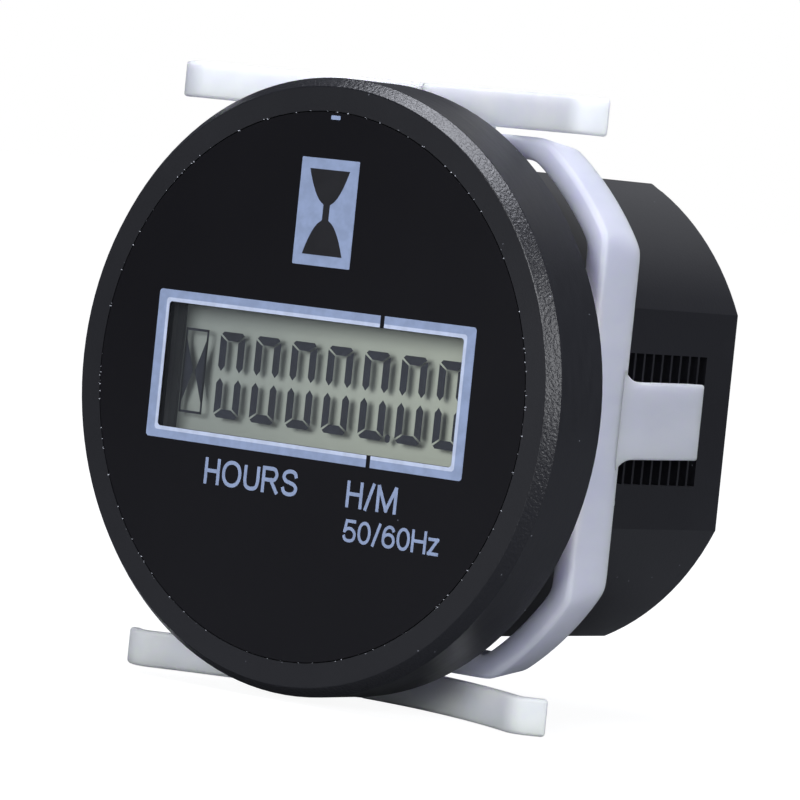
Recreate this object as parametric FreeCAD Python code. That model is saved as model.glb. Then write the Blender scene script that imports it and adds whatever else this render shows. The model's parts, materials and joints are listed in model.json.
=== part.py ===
import FreeCAD, Part
import math
import os

from FreeCAD import Vector

# Panel hour meter with a liquid-crystal readout and a snap-on retaining clamp.
# Millimetres. Origin: centre of the bezel flange's rear face, where the panel sits.
# +Y runs to the rear along the barrel, +Z is up and the face looks along -Y.

# ---- driving dimensions -------------------------------------------------------------
bezel_radius = 30.0
bezel_chamfer_width = 0.93
bezel_chamfer_depth = 1.22
bezel_edge_round = 0.15
flange_depth = 7.6
panel_collar_radius = 26.0
panel_collar_length = 1.2

barrel_radius = 25.3
barrel_flat = 22.9
barrel_length = 31.0
barrel_wall = 1.7
rear_edge_round = 0.8
flange_groove_inner = 26.8
flange_groove_outer = 28.6
flange_groove_floor = 2.0

lens_recess_radius = 26.7
lens_thickness = 1.2
overlay_thickness = 0.25
lens_clearance = 0.1
window_width = 37.06
window_height = 12.24
window_x = 0.13
window_z = 0.42
window_web = 0.6
window_web_margin = 0.6

fit_clearance = 0.2
stack_clearance = 0.05
polarizer_thickness = 0.15
front_glass_thickness = 0.7
rear_glass_thickness = 1.1
reflector_thickness = 0.2
glass_side_margin = 1.47
front_glass_margin = 3.38
rear_glass_margin = 1.58
reflector_inset = 0.5
contact_strip_height = 1.6
contact_strip_inset = 1.0
holder_depth = 4.5
board_thickness = 1.6
board_spacing = 16.4

post_radius = 2.2
post_inset = 3.5
post_angle = 41.0
board_screw_x = 8.0
board_screw_gap = 6.0
small_screw_radius = 0.9
small_head_radius = 1.7
small_head_height = 1.2
screw_clearance = 0.06

cover_thickness = 2.0
cover_inset = 0.4
cover_ledge = 0.5
boss_overlap = 0.4
cover_screw_radius = 1.1
cover_head_radius = 1.9
cover_head_height = 1.1
boss_radius = 2.6
boss_length = 8.2

divider_thickness = 1.2
divider_height = 12.0
divider_corner = 2.0
presser_thickness = 1.5
presser_height = 9.0
presser_inset = 3.5

blade_width = 6.35
blade_thickness = 0.8
blade_spacing = 18.0
blade_reach = 8.0
blade_hole_radius = 0.825
blade_hole_from_tip = 3.3
blade_shoulder = 1.0

slot_pitch = 1.5
rib_width = 0.3
slot_half_height = 6.4
slot_depth = 1.1
slot_count = 14
last_slot_end = 26.0

clamp_front = 3.0
clamp_length = 6.1
clamp_round_gap = 3.9
clamp_flat_gap = 1.1
clamp_round_wall = 2.35
clamp_flat_wall = 2.2
clamp_round_draft = 0.8
clamp_side_draft = 0.2
clamp_top_draft = 0.6
clamp_edge_round = 0.6
gate_mark_z = -8.0
gate_mark_size = 0.8

bar_inset = 3.15
bar_height = 3.6
bar_setback = 2.4
bar_curve = 0.0117
bar_thickness = 1.6
bar_tip_thickness = 1.2
bar_hook_start = 22.45
bar_hook_gain = 0.21
bar_reach = 26.7
neck_half_width = 10.0

tongue_half_width = 3.75
tongue_stub = 3.0
tongue_length = 12.1
tongue_root_thickness = 1.6
tongue_crest_gap = 0.15
tongue_tip_thickness = 1.25
tooth_clearance = 0.08
tooth_width = 0.8
knuckle_gap = 0.06
knuckle_setback = 0.35

# ---- places worked out from them ----------------------------------------------------
bezel_front_radius = bezel_radius - bezel_chamfer_width
glass_width = window_width + 2 * glass_side_margin
front_glass_height = window_height + 2 * front_glass_margin
rear_glass_height = window_height + 2 * rear_glass_margin
contact_strip_length = glass_width - 2 * contact_strip_inset
face_y = -flange_depth
lens_front = face_y + overlay_thickness
lens_back = lens_front + lens_thickness
web_back = lens_back + window_web
polarizer_front = web_back + stack_clearance
glass_front = polarizer_front + polarizer_thickness
glass_middle = glass_front + front_glass_thickness
reflector_front = glass_middle + rear_glass_thickness
reflector_back = reflector_front + reflector_thickness
holder_back = polarizer_front + holder_depth
display_board_back = holder_back + board_thickness
supply_board_front = display_board_back + board_spacing
supply_board_back = supply_board_front + board_thickness
cover_back = barrel_length - cover_inset
cover_front = cover_back - cover_thickness
cavity_flat = barrel_flat - barrel_wall
cavity_radius = barrel_radius - barrel_wall
insert_flat = cavity_flat - fit_clearance
insert_radius = cavity_radius - fit_clearance
post_circle = insert_radius - post_inset
post_x = post_circle * math.cos(math.radians(post_angle))
post_z = post_circle * math.sin(math.radians(post_angle))
board_screw_z = front_glass_height / 2 + board_screw_gap
cover_screw_z = cavity_flat - boss_radius + boss_overlap
recess_flat = cavity_flat + cover_ledge
recess_radius = cavity_radius + cover_ledge
slot_width = slot_pitch - rib_width
rack_front = last_slot_end - slot_count * slot_pitch + rib_width
clamp_back = clamp_front + clamp_length
clamp_inner_radius = barrel_radius + clamp_round_gap
clamp_inner_flat = barrel_flat + clamp_flat_gap
clamp_front_radius = clamp_inner_radius + clamp_round_wall
clamp_back_radius = clamp_front_radius - clamp_round_draft
clamp_front_flat = clamp_inner_flat + clamp_flat_wall
clamp_side_flat = clamp_front_flat - clamp_side_draft
clamp_top_flat = clamp_front_flat - clamp_top_draft
bar_inner_z = bezel_radius - bar_inset
bar_front_y = clamp_front + bar_setback
tongue_root_x = clamp_side_flat - tongue_root_thickness / 2
tongue_fold_y = clamp_back + tongue_stub
tongue_tip_y = tongue_fold_y + tongue_length
tongue_tip_inner_x = barrel_flat + tongue_crest_gap
tongue_tip_outer_x = tongue_tip_inner_x + tongue_tip_thickness
post_places = [(sx * post_x, sz * post_z) for sx in (-1, 1) for sz in (-1, 1)]
board_screw_places = [(sx * board_screw_x, sz * board_screw_z) for sx in (-1, 1) for sz in (-1, 1)]
cover_screw_places = [(0.0, cover_screw_z), (0.0, -cover_screw_z)]


# ---- shape helpers ------------------------------------------------------------------
def block(x0, x1, y0, y1, z0, z1):
    return Part.makeBox(x1 - x0, y1 - y0, z1 - z0, Vector(x0, y0, z0))


def centred_block(width, height, y0, y1, x=0.0, z=0.0):
    return block(x - width / 2, x + width / 2, y0, y1, z - height / 2, z + height / 2)


def rod(radius, y0, y1, x=0.0, z=0.0):
    return Part.makeCylinder(radius, y1 - y0, Vector(x, y0, z), Vector(0, 1, 0))


def barrel(radius, flat, y0, y1):
    # a round barrel cut to four flats
    return rod(radius, y0, y1).common(block(-flat, flat, y0, y1, -flat, flat))


def cross_rod(radius, length, x, y, z):
    return Part.makeCylinder(radius, length, Vector(x - length / 2, y, z), Vector(1, 0, 0))


def plate(points, z0, z1):
    # a closed outline of points in the XY plane, raised along Z
    corners = [Vector(x, y, z0) for x, y in points]
    face = Part.Face(Part.makePolygon(corners + corners[:1]))
    return face.extrude(Vector(0, 0, z1 - z0))


def rectangle(half_width, half_height, y):
    corners = [(-half_width, -half_height), (half_width, -half_height)]
    corners += [(half_width, half_height), (-half_width, half_height)]
    points = [Vector(x, y, z) for x, z in corners]
    return Part.makePolygon(points + points[:1])


def edges_at(shape, y, tolerance=0.01):
    def lies_there(edge):
        box = edge.BoundBox
        return abs(box.YMin - y) < tolerance and abs(box.YMax - y) < tolerance

    return [edge for edge in shape.Edges if lies_there(edge)]


def with_holes(shape, places, radius, y0, y1):
    for x, z in places:
        shape = shape.cut(rod(radius, y0, y1, x, z))
    return shape


def mirrored(shape, across):
    return shape.mirror(Vector(0, 0, 0), across)


def save(name, shape):
    solids = shape.Solids
    result = solids[0] if len(solids) == 1 else Part.makeCompound(solids)
    result.exportStep("parts/" + name + ".step")


# ---- housing ------------------------------------------------------------------------
def make_housing():
    chamfer_back = face_y + bezel_chamfer_depth
    front = Part.makeCone(
        bezel_front_radius, bezel_radius, bezel_chamfer_depth, Vector(0, face_y, 0), Vector(0, 1, 0)
    )
    flange = front.fuse(rod(bezel_radius, chamfer_back, 0)).removeSplitter()
    chamfer_edges = edges_at(flange, face_y) + edges_at(flange, chamfer_back)
    flange = flange.makeFillet(bezel_edge_round, chamfer_edges)
    body = barrel(barrel_radius, barrel_flat, -1.0, barrel_length)
    body = body.makeFillet(rear_edge_round, edges_at(body, barrel_length))
    shell = flange.fuse(body).fuse(rod(panel_collar_radius, -1.0, panel_collar_length))
    groove = rod(flange_groove_outer, lens_back + flange_groove_floor, 0)
    groove = groove.cut(rod(flange_groove_inner, lens_back, 0))
    shell = shell.cut(groove)
    shell = shell.cut(rod(lens_recess_radius, face_y - 1, lens_back))
    shell = shell.cut(
        centred_block(
            window_width + 2 * window_web_margin, window_height + 2 * window_web_margin,
            lens_back - 1, web_back + 1, window_x, window_z,
        )
    )
    shell = shell.cut(barrel(cavity_radius, cavity_flat, web_back, barrel_length + 1))
    shell = shell.cut(barrel(recess_radius, recess_flat, cover_front, barrel_length + 1))
    for x, z in cover_screw_places:
        boss = rod(boss_radius, cover_front - boss_length, cover_front, x, z)
        shell = shell.fuse(boss.common(barrel(barrel_radius - 0.5, barrel_flat - 0.5, 0, barrel_length)))
    hole_radius = cover_screw_radius + screw_clearance
    shell = with_holes(shell, cover_screw_places, hole_radius, cover_front - boss_length - 1, cover_front + 1)
    slots = []
    for number in range(slot_count):
        y0 = rack_front + number * slot_pitch
        for side in (-1, 1):
            x0, x1 = sorted((side * (barrel_flat - slot_depth), side * (barrel_flat + 1)))
            slots.append(block(x0, x1, y0, y0 + slot_width, -slot_half_height, slot_half_height))
    return shell.cut(Part.makeCompound(slots)).removeSplitter()


# ---- face and display ---------------------------------------------------------------
def make_face():
    disc = rod(lens_recess_radius - lens_clearance, face_y, lens_front)
    window = centred_block(window_width, window_height, face_y - 1, lens_front + 1, window_x, window_z)
    save("face_overlay", disc.cut(window))
    save("front_lens", rod(lens_recess_radius - lens_clearance, lens_front, lens_back))


def make_display():
    reflector_height = rear_glass_height - 2 * reflector_inset
    reflector_width = glass_width - 2 * reflector_inset
    save("lcd_polarizer", centred_block(reflector_width, reflector_height, polarizer_front, glass_front))
    save("lcd_front_glass", centred_block(glass_width, front_glass_height, glass_front, glass_middle))
    save("lcd_rear_glass", centred_block(glass_width, rear_glass_height, glass_middle, reflector_front))
    save("lcd_reflector", centred_block(reflector_width, reflector_height, reflector_front, reflector_back))

    holder = barrel(insert_radius, insert_flat, polarizer_front, holder_back)
    pocket_width = glass_width + fit_clearance
    holder = holder.cut(
        centred_block(pocket_width, front_glass_height + fit_clearance, polarizer_front - 1, glass_middle)
    )
    holder = holder.cut(
        centred_block(
            pocket_width, rear_glass_height + fit_clearance,
            glass_middle - 1, reflector_back + stack_clearance,
        )
    )
    strip_z = (rear_glass_height + front_glass_height) / 4 + fit_clearance / 2
    strip_slot = contact_strip_height + fit_clearance
    for side, name in ((1, "contact_strip_upper"), (-1, "contact_strip_lower")):
        z = side * strip_z
        holder = holder.cut(
            centred_block(
                contact_strip_length + fit_clearance, strip_slot, glass_middle - 1, holder_back + 1, z=z
            )
        )
        save(name, centred_block(contact_strip_length, contact_strip_height, glass_middle, holder_back, z=z))
    holder = with_holes(
        holder, board_screw_places, small_screw_radius + screw_clearance, reflector_back, holder_back + 1
    )
    holder = cut_boss_notches(holder, polarizer_front, holder_back)
    save("lcd_holder", holder)


def cut_boss_notches(shape, y0, y1):
    # lets an insert pass the two screw bosses on its way in from the rear
    return with_holes(shape, cover_screw_places, boss_radius + fit_clearance, y0 - 1, y1 + 1)


def screws(places, seat_y, shank_radius, shank_length, head_radius, head_height):
    # pan-head screws driven from the rear, with a cross recess in each head
    solids = []
    for x, z in places:
        head = rod(head_radius, seat_y, seat_y + head_height, x, z)
        head = head.makeFillet(head_height * 0.35, edges_at(head, seat_y + head_height))
        recess_depth = head_height * 0.5
        recess = centred_block(
            head_radius * 1.1, head_radius * 0.3, seat_y + recess_depth, seat_y + 2 * head_height, x, z
        )
        turned = centred_block(
            head_radius * 0.3, head_radius * 1.1, seat_y + recess_depth, seat_y + 2 * head_height, x, z
        )
        shank = rod(shank_radius, seat_y - shank_length, seat_y, x, z)
        solids.append(head.cut(recess.fuse(turned)).fuse(shank))
    return Part.makeCompound(solids)


# ---- boards and what they carry -----------------------------------------------------
def make_boards():
    hole_radius = small_screw_radius + screw_clearance * 2
    display = barrel(insert_radius, insert_flat, holder_back, display_board_back)
    display = with_holes(display, board_screw_places, hole_radius, holder_back - 1, display_board_back + 1)
    save("display_board", cut_boss_notches(display, holder_back, display_board_back))
    supply = barrel(insert_radius, insert_flat, supply_board_front, supply_board_back)
    supply = with_holes(supply, post_places, hole_radius, supply_board_front - 1, supply_board_back + 1)
    save("supply_board", cut_boss_notches(supply, supply_board_front, supply_board_back))

    posts = []
    for x, z in post_places:
        post = rod(post_radius, display_board_back, supply_board_front, x, z)
        bore = rod(
            small_screw_radius + screw_clearance,
            display_board_back + board_spacing / 2, supply_board_front + 1, x, z,
        )
        posts.append(post.cut(bore))
    save("spacer_posts", Part.makeCompound(posts))
    screw_size = (small_head_radius, small_head_height)
    save(
        "display_screws",
        screws(board_screw_places, display_board_back, small_screw_radius, board_thickness + 1.8, *screw_size),
    )
    save(
        "supply_screws",
        screws(post_places, supply_board_back, small_screw_radius, board_thickness + 5.0, *screw_size),
    )


def make_components():
    back = display_board_back
    save("controller_chip", centred_block(10.0, 10.0, back, back + 1.4))
    save("memory_chip", centred_block(5.0, 4.0, back, back + 1.5, 10.0, 6.0))
    crystal = centred_block(10.2, 3.8, back, back + 3.4, -11.0, -6.0)
    upright = [e for e in crystal.Edges if abs(e.BoundBox.YLength - 3.4) < 0.01]
    save("timing_crystal", crystal.makeFillet(1.8, upright))

    pin_x = 18.5
    header = centred_block(2.4, 10.1, back, back + 2.5, pin_x, 0.0)
    for number in range(4):
        pin_z = (number - 1.5) * 2.54
        header = header.fuse(centred_block(0.64, 0.64, back, supply_board_front, pin_x, pin_z))
    save("board_header", header.removeSplitter())

    front = supply_board_front
    save("dropper_capacitor", centred_block(18.0, 6.0, front - 11.0, front, 0.0, -11.0))
    can = rod(4.0, front - 11.5, front, -9.0, 6.0)
    save("smoothing_capacitor", can.makeFillet(0.6, edges_at(can, front - 11.5)))
    save("bridge_rectifier", centred_block(8.5, 6.5, front - 3.3, front, 6.0, 7.0))
    save("surge_resistor", cross_rod(2.0, 11.0, 0.0, front - 2.0, -2.5))
    save("discharge_resistor", cross_rod(1.15, 6.3, 0.0, front - 1.15, 12.8))
    save("zener_diode", cross_rod(1.3, 5.0, -13.5, front - 1.3, -2.5))
    save("surge_varistor", cross_rod(4.5, 3.2, 13.6, front - 4.5, -2.0))


# ---- rear end -----------------------------------------------------------------------
def make_rear():
    cover = barrel(recess_radius - 0.1, recess_flat - 0.1, cover_front, cover_back)
    for side in (-1, 1):
        presser_front = supply_board_back + stack_clearance
        x = side * (insert_flat - presser_inset)
        cover = cover.fuse(
            centred_block(presser_thickness, presser_height, presser_front, cover_front + 0.5, x)
        )
        cover = cover.cut(
            centred_block(
                blade_width + 0.1, blade_thickness + 0.1,
                cover_front - 1, cover_back + 1, side * blade_spacing / 2,
            )
        )
    divider = centred_block(divider_thickness, divider_height, cover_back - 0.5, cover_back + blade_reach)
    corners = [e for e in edges_at(divider, cover_back + blade_reach) if e.BoundBox.ZLength < 0.01]
    cover = cover.fuse(divider.makeFillet(divider_corner, corners))
    hole_radius = cover_screw_radius + screw_clearance
    seat_y = cover_back - cover_head_height
    cover = with_holes(cover, cover_screw_places, hole_radius, cover_front - 1, cover_back + 1)
    cover = with_holes(cover, cover_screw_places, cover_head_radius + 0.1, seat_y, cover_back + 1)
    save("rear_cover", cover.removeSplitter())
    save(
        "cover_screws",
        screws(
            cover_screw_places, seat_y, cover_screw_radius, boss_length - 0.5,
            cover_head_radius, cover_head_height,
        ),
    )


def make_blade(x):
    tip = cover_back + blade_reach
    blade = centred_block(blade_width, blade_thickness, cover_front - 3.0, tip, x)
    corners = [
        e for e in blade.Edges
        if e.BoundBox.ZLength > blade_thickness - 0.01 and abs(e.BoundBox.YMin - tip) < 0.01
    ]
    blade = blade.makeChamfer(1.1, corners)
    long_tip_edges = [e for e in edges_at(blade, tip) if e.BoundBox.XLength > 1.0]
    blade = blade.makeChamfer(0.25, long_tip_edges)
    shoulder = centred_block(
        blade_width + 2 * blade_shoulder, blade_thickness,
        cover_front - 1.5 - stack_clearance, cover_front - stack_clearance, x,
    )
    tail = centred_block(2.4, blade_thickness, supply_board_back, cover_front - 2.5, x)
    hole = Part.makeCylinder(blade_hole_radius, 4.0, Vector(x, tip - blade_hole_from_tip, -2.0))
    return blade.fuse(shoulder).fuse(tail).cut(hole).removeSplitter()


# ---- retaining clamp ----------------------------------------------------------------
def bar_y(x):
    # front of the bowed bar: a shallow parabola whose tip hooks back on a second one
    hook = max(0.0, x - bar_hook_start)
    return bar_front_y - bar_curve * x * x + bar_hook_gain * hook * hook


def bar_outline():
    # front and rear points of the right-hand arm, from the knuckle to the hooked tip
    steps = 6
    run, hook_run = bar_hook_start - neck_half_width, bar_reach - bar_hook_start
    xs = [neck_half_width + run * i / steps for i in range(steps)]
    xs += [bar_hook_start + hook_run * i / steps for i in range(steps + 1)]
    front, rear = [(x, bar_y(x)) for x in xs], []
    for x, y in front:
        slope = (bar_y(x + 0.01) - bar_y(x - 0.01)) / 0.02
        length = math.hypot(1.0, slope)
        share = max(0.0, (x - bar_hook_start) / hook_run)
        thickness = bar_thickness + (bar_tip_thickness - bar_thickness) * share
        rear.append((x - slope / length * thickness, y + thickness / length))
    return front, rear


def spline_edge(points):
    curve = Part.BSplineCurve()
    curve.interpolate([Vector(x, y, 0) for x, y in points])
    return curve.toShape()


def bar_between(front, rear):
    # the bar between a front and a rear curve, seen in plan
    far_end = Part.makeLine(Vector(*front[-1], 0), Vector(*rear[-1], 0))
    near_end = Part.makeLine(Vector(*rear[0], 0), Vector(*front[0], 0))
    face = Part.Face(Part.Wire([spline_edge(front), far_end, spline_edge(rear[::-1]), near_end]))
    face.translate(Vector(0, 0, bar_inner_z))
    return face.extrude(Vector(0, 0, bar_height))


def bar_hinge():
    front, rear = bar_outline()
    return (front[0][0] + rear[0][0]) / 2, (front[0][1] + rear[0][1]) / 2


def make_arm():
    front, rear = bar_outline()
    hinge_x, hinge_y = bar_hinge()
    arm = bar_between(front, rear)
    knuckle = Part.makeCylinder(bar_thickness / 2, bar_height, Vector(hinge_x, hinge_y, bar_inner_z))
    return arm.fuse(knuckle).removeSplitter()


def make_clamp():
    # a slightly tapered round and a tapered square, each rounded in front, then crossed
    outlines = [
        Part.makeCone(
            clamp_front_radius, clamp_back_radius, clamp_length, Vector(0, clamp_front, 0), Vector(0, 1, 0)
        ),
        Part.makeLoft(
            [
                rectangle(clamp_front_flat, clamp_front_flat, clamp_front),
                rectangle(clamp_side_flat, clamp_top_flat, clamp_back),
            ],
            True, True,
        ),
    ]
    rounded = [outline.makeFillet(clamp_edge_round, edges_at(outline, clamp_front)) for outline in outlines]
    band = rounded[0].common(rounded[1])
    band = band.cut(barrel(clamp_inner_radius, clamp_inner_flat, clamp_front - 1, clamp_back + 1))

    hinge_x, hinge_y = bar_hinge()
    centre_end = neck_half_width - knuckle_setback
    xs = [centre_end * share for share in (-1.0, -0.5, 0.0, 0.5, 1.0)]
    front = [(x, bar_y(x)) for x in xs]
    rear = [(x, bar_y(x) + bar_thickness) for x in xs]
    centre = bar_between(front, rear)
    for side in (-1, 1):
        centre = centre.cut(
            Part.makeCylinder(
                bar_thickness / 2 + knuckle_gap, bar_height + 2, Vector(side * hinge_x, hinge_y, bar_inner_z - 1)
            )
        )
    neck_front = bar_y(0) + 0.1
    neck_half = neck_half_width - 1.6
    neck = block(
        -neck_half, neck_half, neck_front, neck_front + bar_thickness, clamp_top_flat - 1, bar_inner_z + 0.5
    )
    for piece in (centre, neck):
        band = band.fuse(piece).fuse(mirrored(piece, Vector(0, 0, 1)))

    stub_end = tongue_fold_y - knuckle_setback
    for side in (-1, 1):
        x0, x1 = sorted((side * (clamp_inner_flat + 0.1), side * clamp_side_flat))
        stub = block(x0, x1, clamp_back - 1, stub_end, -tongue_half_width, tongue_half_width)
        socket = Part.makeCylinder(
            tongue_root_thickness / 2 + knuckle_gap, 2 * tongue_half_width + 2,
            Vector(side * tongue_root_x, tongue_fold_y, -tongue_half_width - 1),
        )
        band = band.fuse(stub).cut(socket)
    # the moulding gate's mark, a small stub on the rear edge
    gate = block(
        clamp_side_flat - gate_mark_size, clamp_side_flat - 0.1,
        clamp_back - 0.5, clamp_back + gate_mark_size / 2,
        gate_mark_z - gate_mark_size / 2, gate_mark_z + gate_mark_size / 2,
    )
    return band.fuse(gate).removeSplitter()


def make_tongue():
    # leans inwards from the fold to a tooth that rides on the crests of the rack
    half = tongue_root_thickness / 2
    tip_inner_x = tongue_tip_inner_x
    tooth_x = barrel_flat + tooth_clearance
    slot_number = math.floor((tongue_tip_y - 0.2 - slot_width - rack_front) / slot_pitch)
    tooth_y = rack_front + slot_number * slot_pitch + (slot_width - tooth_width) / 2
    outline = [
        (tongue_root_x + half, tongue_fold_y),
        (tongue_tip_outer_x, tongue_tip_y),
        (tip_inner_x, tongue_tip_y),
        (tip_inner_x + 0.01, tooth_y + tooth_width + 0.2),
        (tooth_x, tooth_y + tooth_width),
        (tooth_x, tooth_y),
        (tip_inner_x + 0.05, tooth_y - 0.3),
        (tongue_root_x - half, tongue_fold_y),
    ]
    tongue = plate(outline, -tongue_half_width, tongue_half_width)
    knuckle = Part.makeCylinder(
        half, 2 * tongue_half_width, Vector(tongue_root_x, tongue_fold_y, -tongue_half_width)
    )
    return tongue.fuse(knuckle).removeSplitter()


# ---- write every piece --------------------------------------------------------------
os.makedirs("parts", exist_ok=True)
save("housing", make_housing())
make_face()
make_display()
make_boards()
make_components()
make_rear()
for name, x in (("terminal_left", -blade_spacing / 2), ("terminal_right", blade_spacing / 2)):
    save(name, make_blade(x))
save("retaining_clamp", make_clamp())
arm = make_arm()
across_x, across_z = Vector(1, 0, 0), Vector(0, 0, 1)
save("bar_arm_upper_right", arm)
save("bar_arm_upper_left", mirrored(arm, across_x))
save("bar_arm_lower_right", mirrored(arm, across_z))
save("bar_arm_lower_left", mirrored(mirrored(arm, across_x), across_z))
tongue = make_tongue()
save("tongue_right", tongue)
save("tongue_left", mirrored(tongue, across_x))
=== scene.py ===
import json
from math import cos, pi, radians, sin
import bmesh
import bpy
import numpy as np
from mathutils import Matrix, Vector


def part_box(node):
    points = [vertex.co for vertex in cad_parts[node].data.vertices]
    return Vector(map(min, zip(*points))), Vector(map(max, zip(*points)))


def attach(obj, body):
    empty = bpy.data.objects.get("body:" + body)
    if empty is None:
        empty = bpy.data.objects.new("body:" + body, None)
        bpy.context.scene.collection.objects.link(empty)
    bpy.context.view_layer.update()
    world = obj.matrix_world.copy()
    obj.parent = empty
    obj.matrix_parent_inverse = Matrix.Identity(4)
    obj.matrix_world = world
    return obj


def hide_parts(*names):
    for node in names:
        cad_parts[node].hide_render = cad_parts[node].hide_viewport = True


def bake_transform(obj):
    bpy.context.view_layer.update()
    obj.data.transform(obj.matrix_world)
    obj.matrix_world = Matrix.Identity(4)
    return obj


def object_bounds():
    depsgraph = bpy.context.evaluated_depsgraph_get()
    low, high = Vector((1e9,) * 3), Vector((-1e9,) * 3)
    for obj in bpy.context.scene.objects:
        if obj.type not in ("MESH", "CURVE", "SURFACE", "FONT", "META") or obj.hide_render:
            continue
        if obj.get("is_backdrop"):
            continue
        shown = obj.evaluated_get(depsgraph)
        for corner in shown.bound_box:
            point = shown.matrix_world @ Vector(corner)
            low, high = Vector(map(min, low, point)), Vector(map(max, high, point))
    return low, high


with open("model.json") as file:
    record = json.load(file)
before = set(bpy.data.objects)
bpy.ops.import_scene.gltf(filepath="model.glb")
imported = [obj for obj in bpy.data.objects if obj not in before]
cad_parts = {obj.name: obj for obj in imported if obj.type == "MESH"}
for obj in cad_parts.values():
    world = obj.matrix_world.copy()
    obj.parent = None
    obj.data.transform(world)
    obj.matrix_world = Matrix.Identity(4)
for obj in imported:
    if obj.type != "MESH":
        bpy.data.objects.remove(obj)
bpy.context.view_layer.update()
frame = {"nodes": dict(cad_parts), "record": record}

mm = 0.001
nodes = frame["nodes"]
print("frame loaded:", len(nodes), "nodes")


# shader maths: a Wire is one output socket, and arithmetic on it adds Math nodes
class Wire:
    def __init__(self, tree, socket):
        self.tree, self.socket = tree, socket

    def maths(self, operation, *values):
        sockets = dict(enumerate(values))
        return add(self.tree, "ShaderNodeMath", {"operation": operation}, sockets)

    def __add__(self, other): return self.maths("ADD", self, other)
    def __radd__(self, other): return self.maths("ADD", other, self)
    def __sub__(self, other): return self.maths("SUBTRACT", self, other)
    def __rsub__(self, other): return self.maths("SUBTRACT", other, self)
    def __mul__(self, other): return self.maths("MULTIPLY", self, other)
    def __rmul__(self, other): return self.maths("MULTIPLY", other, self)
    def __pow__(self, other): return self.maths("POWER", self, other)
    def __lt__(self, other): return self.maths("LESS_THAN", self, other)


def add(tree, kind, settings={}, sockets={}, output=0):
    # any node: its settings first, then the values or wires of its sockets
    node = tree.nodes.new(kind)
    for key, value in settings.items():
        if key == "stops":
            for i, (place, colour) in enumerate(value):
                stop = node.color_ramp.elements[i] if i < 2 else node.color_ramp.elements.new(place)
                stop.position, stop.color = place, (*colour, 1.0)
        else:
            setattr(node, key, value)
    for key, value in sockets.items():
        if isinstance(value, Wire):
            tree.links.new(value.socket, node.inputs[key])
        else:
            node.inputs[key].default_value = value
    return Wire(tree, node.outputs[output])


def srgb(r, g, b):
    # display values from 0 to 255, as linear light
    c = np.array([r, g, b]) / 255
    return tuple(np.where(c < 0.04045, c / 12.92, ((c + 0.055) / 1.055) ** 2.4).tolist())


def smoothStep(value, low, high):
    # 0 below low, 1 above high, an S curve between
    return add(value.tree, "ShaderNodeMapRange", {"interpolation_type": "SMOOTHSTEP"},
               {"Value": value, "From Min": low, "From Max": high})


class Finish:
    # a material with one Principled shader; colour, rough and height may be wires
    def __init__(self, name):
        self.material = bpy.data.materials.new(name)
        self.material.use_nodes = True
        self.tree = self.material.node_tree
        self.shader = self.tree.nodes["Principled BSDF"]
        self.place = self.add("ShaderNodeTexCoord", output="Object")

    def add(self, kind, settings={}, sockets={}, output=0):
        return add(self.tree, kind, settings, sockets, output)

    def axes(self):
        return [self.add("ShaderNodeSeparateXYZ", {}, {0: self.place}, k) for k in range(3)]

    def noise(self, size, detail=2.0, stretch=(1, 1, 1)):
        # soft noise from 0 to 1 whose grains are about size metres across
        where = self.add("ShaderNodeMapping", {}, {"Vector": self.place, "Scale": stretch})
        return self.add("ShaderNodeTexNoise", {}, {"Vector": where, "Scale": 0.5 / size, "Detail": detail})

    def specks(self, size, share):
        # 1 on a few small spots, set by how many cells of the pattern are taken
        cells = self.add("ShaderNodeTexVoronoi", {}, {"Vector": self.place, "Scale": 1 / size})
        pick = self.add("ShaderNodeTexVoronoi", {}, {"Vector": self.place, "Scale": 1 / size}, "Color")
        red = self.add("ShaderNodeSeparateColor", {}, {0: pick})
        return (red < share) * (cells < 0.22)

    def blend(self, mask, low, high):
        # from colour low where mask is 0 to colour high where it is 1; either may be a wire
        a, b = (colour if isinstance(colour, Wire) else (*colour, 1) for colour in (low, high))
        return self.add("ShaderNodeMix", {"data_type": "RGBA"}, {"Factor": mask, "A": a, "B": b}, 2)

    def put(self, **values):
        # sets or links the Principled shader's sockets by their names
        for key, value in values.items():
            socket = self.shader.inputs[key.replace("_", " ")]
            if isinstance(value, Wire):
                self.tree.links.new(value.socket, socket)
            elif isinstance(value, tuple) and len(value) == 3 and len(socket.default_value) == 4:
                socket.default_value = (*value, 1.0)
            else:
                socket.default_value = value
        return self

    def bump(self, height, depth, strength=1.0):
        normal = self.add("ShaderNodeBump", {}, {"Height": height, "Distance": depth, "Strength": strength})
        return self.put(Normal=normal)


# finishes
plastic = {"dark": srgb(20, 20, 24), "light": srgb(29, 30, 35), "dust": srgb(120, 122, 130),
           "grain": 0.16 * mm, "fine": 0.10 * mm, "depth": 0.020 * mm, "cloud": 9 * mm, "marks": 1.6 * mm,
           "dustSize": 0.34 * mm, "dustShare": 0.004, "chamferRadius": (28.9 * mm, 29.15 * mm),
           "chamferDepth": (1.15 * mm, 1.28 * mm), "sideRadius": (29.5 * mm, 29.8 * mm), "sideEnd": 0.1 * mm}


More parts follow.
